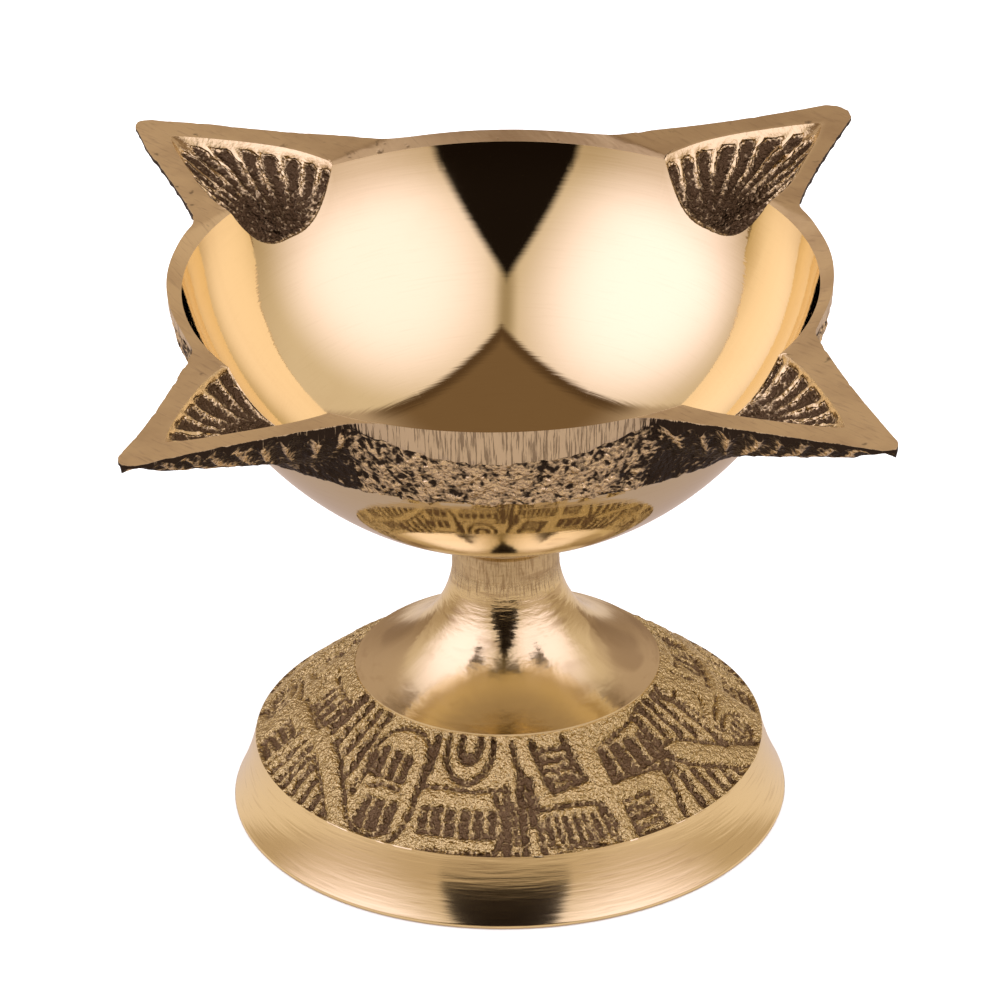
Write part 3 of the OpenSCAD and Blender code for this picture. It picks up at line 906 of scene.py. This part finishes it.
def makeStud():
    # a chamfered core with one right-hand V thread wound round it
    depth = pedestalShape["threadDepth"] * mm
    sizes = {"Radius": studHigh.x, "Depth": depth, "Pitch": pedestalShape["threadPitch"] * mm,
             "Low": studLow.z, "High": studHigh.z, "Chamfer": 0.8 * mm}
    group, tree, at = groupOf("threaded_rod", sizes)
    root = at["Radius"] - at["Depth"]
    height = at["High"] - at["Low"]
    done = tree.node("GeometryNodeSplineParameter", {}, {}, 1)
    fromEnd = done.smaller(height - done)
    cut = (at["Chamfer"] - fromEnd).larger(0)
    disc = tree.node("GeometryNodeCurvePrimitiveCircle", {}, {"Resolution": 64, "Radius": 1.0})
    core = swept(tree, straight(tree, at["Low"], at["High"], 59), disc, root + at["Depth"] * 0.12 - cut * 0.6)
    wound = height - at["Pitch"] * 1.1
    spiral = tree.node("GeometryNodeCurveSpiral", {}, {
        "Resolution": 64, "Rotations": wound / at["Pitch"],
        "Start Radius": root, "End Radius": root, "Height": wound})
    upright = tree.node("GeometryNodeSetCurveNormal", {"mode": "Z_UP"}, {0: spiral})
    turns = tree.node("GeometryNodeSplineParameter", {}, {}, 0)
    fade = tree.step(turns.smaller(1 - turns), 0.0, 0.06)
    vee = tree.node("GeometryNodeCurvePrimitiveCircle", {}, {"Resolution": 4, "Radius": 1.0})
    thread = swept(tree, upright, vee, at["Depth"] * (0.25 + fade * 0.75))
    lifted = tree.node("ShaderNodeCombineXYZ", {}, {2: at["Low"] + at["Pitch"] * 0.55})
    thread = tree.node("GeometryNodeTransform", {}, {0: thread, "Translation": lifted})
    joined = tree.nodes.new("GeometryNodeJoinGeometry")
    for part in (thread, core):
        tree.links.new(part.socket, joined.inputs[0])
    return grow("threaded_rod", group, tree, sizes, Value(tree, joined.outputs[0]), threadBrass)


stud = makeStud()
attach(stud, "bowl")
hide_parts("threaded_stud")


def makeWasher():
    # a flat ring turned from sheet, with its corners just broken
    sizes = {"Outer": washerHigh.x, "Bore": studHigh.x + 0.3 * mm, "Low": washerLow.z, "High": washerHigh.z,
             "Corner": 0.08 * mm}
    group, tree, at = groupOf("seat_ring", sizes)
    section = tree.node("GeometryNodeCurvePrimitiveQuadrilateral", {}, {
        "Width": at["Outer"] - at["Bore"], "Height": at["High"] - at["Low"]})
    section = tree.node("GeometryNodeFilletCurve", {"mode": "POLY"},
                        {0: section, "Count": 3, "Radius": at["Corner"]})
    path = tree.node("GeometryNodeCurvePrimitiveCircle", {}, {
        "Resolution": 128, "Radius": (at["Outer"] + at["Bore"]) * 0.5})
    lifted = tree.node("ShaderNodeCombineXYZ", {}, {2: (at["Low"] + at["High"]) * 0.5})
    ring = swept(tree, path, section, 1.0, False)
    ring = tree.node("GeometryNodeTransform", {}, {0: ring, "Translation": lifted})
    return grow("seat_ring", group, tree, sizes, ring, washerBrass)


washer = makeWasher()
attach(washer, "washer")
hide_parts("seat_washer")
print("stud and washer made:", len(stud.data.polygons), len(washer.data.polygons), "faces")


cameraSet = {
    "azimuth": 44.43, "elevation": 28.459, "distance": 1.11675, "lens": 335.4, "roll": -1.055,
    "target": (-0.0004, -0.0004, 0.03996),
}


def makeCamera():
    a, e = math.radians(cameraSet["azimuth"]), math.radians(cameraSet["elevation"])
    back = Vector((math.sin(a) * math.cos(e), -math.cos(a) * math.cos(e), math.sin(e)))
    right = Vector((math.cos(a), math.sin(a), 0))
    up = back.cross(right)
    roll = math.radians(cameraSet["roll"])
    x, y = right * math.cos(roll) + up * math.sin(roll), up * math.cos(roll) - right * math.sin(roll)
    camera = linked("camera", bpy.data.cameras.new("camera"))
    camera.data.lens = cameraSet["lens"]
    camera.data.sensor_width = 36
    camera.data.clip_end = 20
    place = Matrix((x, y, back)).transposed().to_4x4()
    place.translation = Vector(cameraSet["target"]) + back * cameraSet["distance"]
    camera.matrix_world = place
    bpy.context.scene.camera = camera


makeCamera()

studio = {
    "left": (1.66, 1.47, 1.90), "leftEdge": (0.80, 0.64, 0.54), "leftMiddle": (-75, 37),
    "right": (1.56, 1.36, 1.70), "rightEdge": (0.83, 0.67, 0.56), "rightMiddle": (58, 38),
    "boxFalloff": (0.64, 1.0),
    "dim": (0.219, 0.131, 0.073), "fold": (0.115, 0.064, 0.034), "gap": (0.012, 0.0075, 0.006),
    "backWall": (0.55, 0.41, 0.34), "wallTop": (0.62, 0.86),   # behind the lamp it is lighter up to wallTop
    "seam": (0.37, 0.27, 0.16),
    "gapWidth": 0.52, "gapLean": 0.40, "gapShift": 0.06,   # the dark opening in front narrows upwards
    "roofFrom": 0.30, "roofSpread": 1.35,                  # dim above and behind the two soft boxes
    "lowShade": (0.64, 0.58, 0.48, 1),                     # tint of the boxes near the floor
    "table": (0.85, 0.68, 0.565), "tableNear": (0.53, 0.42, 0.41),  # what the brass sees of the pale floor
    "floor": 0.80, "floorHalf": 6, "floorLight": 2.4, "backdrop": 1.05,
}


def makeFloor():
    mesh = bpy.data.meshes.new("floor")
    half = studio["floorHalf"]
    corners = [(-half, -half, 0), (half, -half, 0), (half, half, 0), (-half, half, 0)]
    mesh.from_pydata(corners, [], [(0, 1, 2, 3)])
    floor = linked("floor", mesh)
    made, tree = material("pale_floor")
    shade = studio["floor"]
    shader = tree.node("ShaderNodeBsdfPrincipled", {}, {
        "Base Color": (shade, shade, shade, 1), "Roughness": 0.9, "Specular IOR Level": 0.0})
    tree.node("ShaderNodeOutputMaterial", {}, {"Surface": shader})
    mesh.materials.append(made)
    floor.visible_glossy = False  # the studio's own table colour is what the brass reflects


makeFloor()


def makeStudio():
    # two big soft boxes lean together over the lamp; it is dim above and behind, and open in front
    world = bpy.data.worlds.new("studio")
    bpy.context.scene.world = world
    world.use_nodes = True
    world.node_tree.nodes.clear()
    tree = Tree(world.node_tree)
    direction = tree.node("ShaderNodeTexCoord", {}, {}, 0)
    x, y, z = (tree.part(direction, i) for i in range(3))
    a = math.radians(cameraSet["azimuth"])
    front = x * math.sin(a) - y * math.cos(a)
    side = x * math.cos(a) + y * math.sin(a)

    def box(key):
        turned, height = (math.radians(v) for v in studio[key + "Middle"])
        facing = (front * (math.cos(turned) * math.cos(height)) + side * (math.sin(turned) * math.cos(height))
                  + z * math.sin(height))
        near = tree.step(facing, *studio["boxFalloff"])
        return tree.mix(near, (*studio[key + "Edge"], 1), (*studio[key], 1))

    colour = tree.mix(tree.step(side, -0.12, 0.12), box("left"), box("right"))
    seam = tree.step(0.035 - abs(side + front * 0.06), -0.05, 0.03) * tree.step(z, 0.70, 0.80)
    colour = tree.mix(seam * 0.8, colour, (*studio["seam"], 1))
    roof = z * studio["roofFrom"] - abs(side) * studio["roofSpread"] - front
    above = tree.step(z, *studio["wallTop"])
    dim = tree.mix(above, (*studio["backWall"], 1), (*studio["dim"], 1))
    dim = tree.mix(above * (1 - tree.step(roof, 0.0, 0.10)), dim, (*studio["fold"], 1))
    colour = tree.mix(tree.step(roof, -0.085, -0.015), colour, dim)
    opening = front * studio["gapWidth"] - z * studio["gapLean"] - abs(side + front * studio["gapShift"])
    opened = tree.step(opening, -0.05, 0.025) * tree.step(z, 0.0, 0.05)
    colour = tree.mix(opened, colour, (*studio["gap"], 1))
    shade = tree.mix(tree.step(z, -0.05, 0.45), studio["lowShade"], (1, 1, 1, 1))
    colour = tree.node("ShaderNodeMix", {"data_type": "RGBA", "blend_type": "MULTIPLY"},
                       {0: 1.0, 6: colour, 7: shade}, 2)
    table = tree.mix(tree.step(z * -1, 0.20, 0.75), (*studio["table"], 1), (*studio["tableNear"], 1))
    colour = tree.mix(tree.step(z * -1, 0.10, 0.19), colour, table)
    seen = tree.node("ShaderNodeLightPath", {}, {}, 0)
    diffuse = tree.node("ShaderNodeLightPath", {}, {}, 2)
    white = (studio["backdrop"],) * 3 + (1,)
    plain = seen.larger(diffuse)
    strength = 1 + diffuse * (studio["floorLight"] - 1)
    lit = tree.mix(plain, colour, white)
    background = tree.node("ShaderNodeBackground", {}, {"Color": lit, "Strength": strength})
    tree.node("ShaderNodeOutputWorld", {}, {"Surface": background})


makeStudio()
bpy.context.scene.view_settings.view_transform = "Standard"
print("camera and studio set")
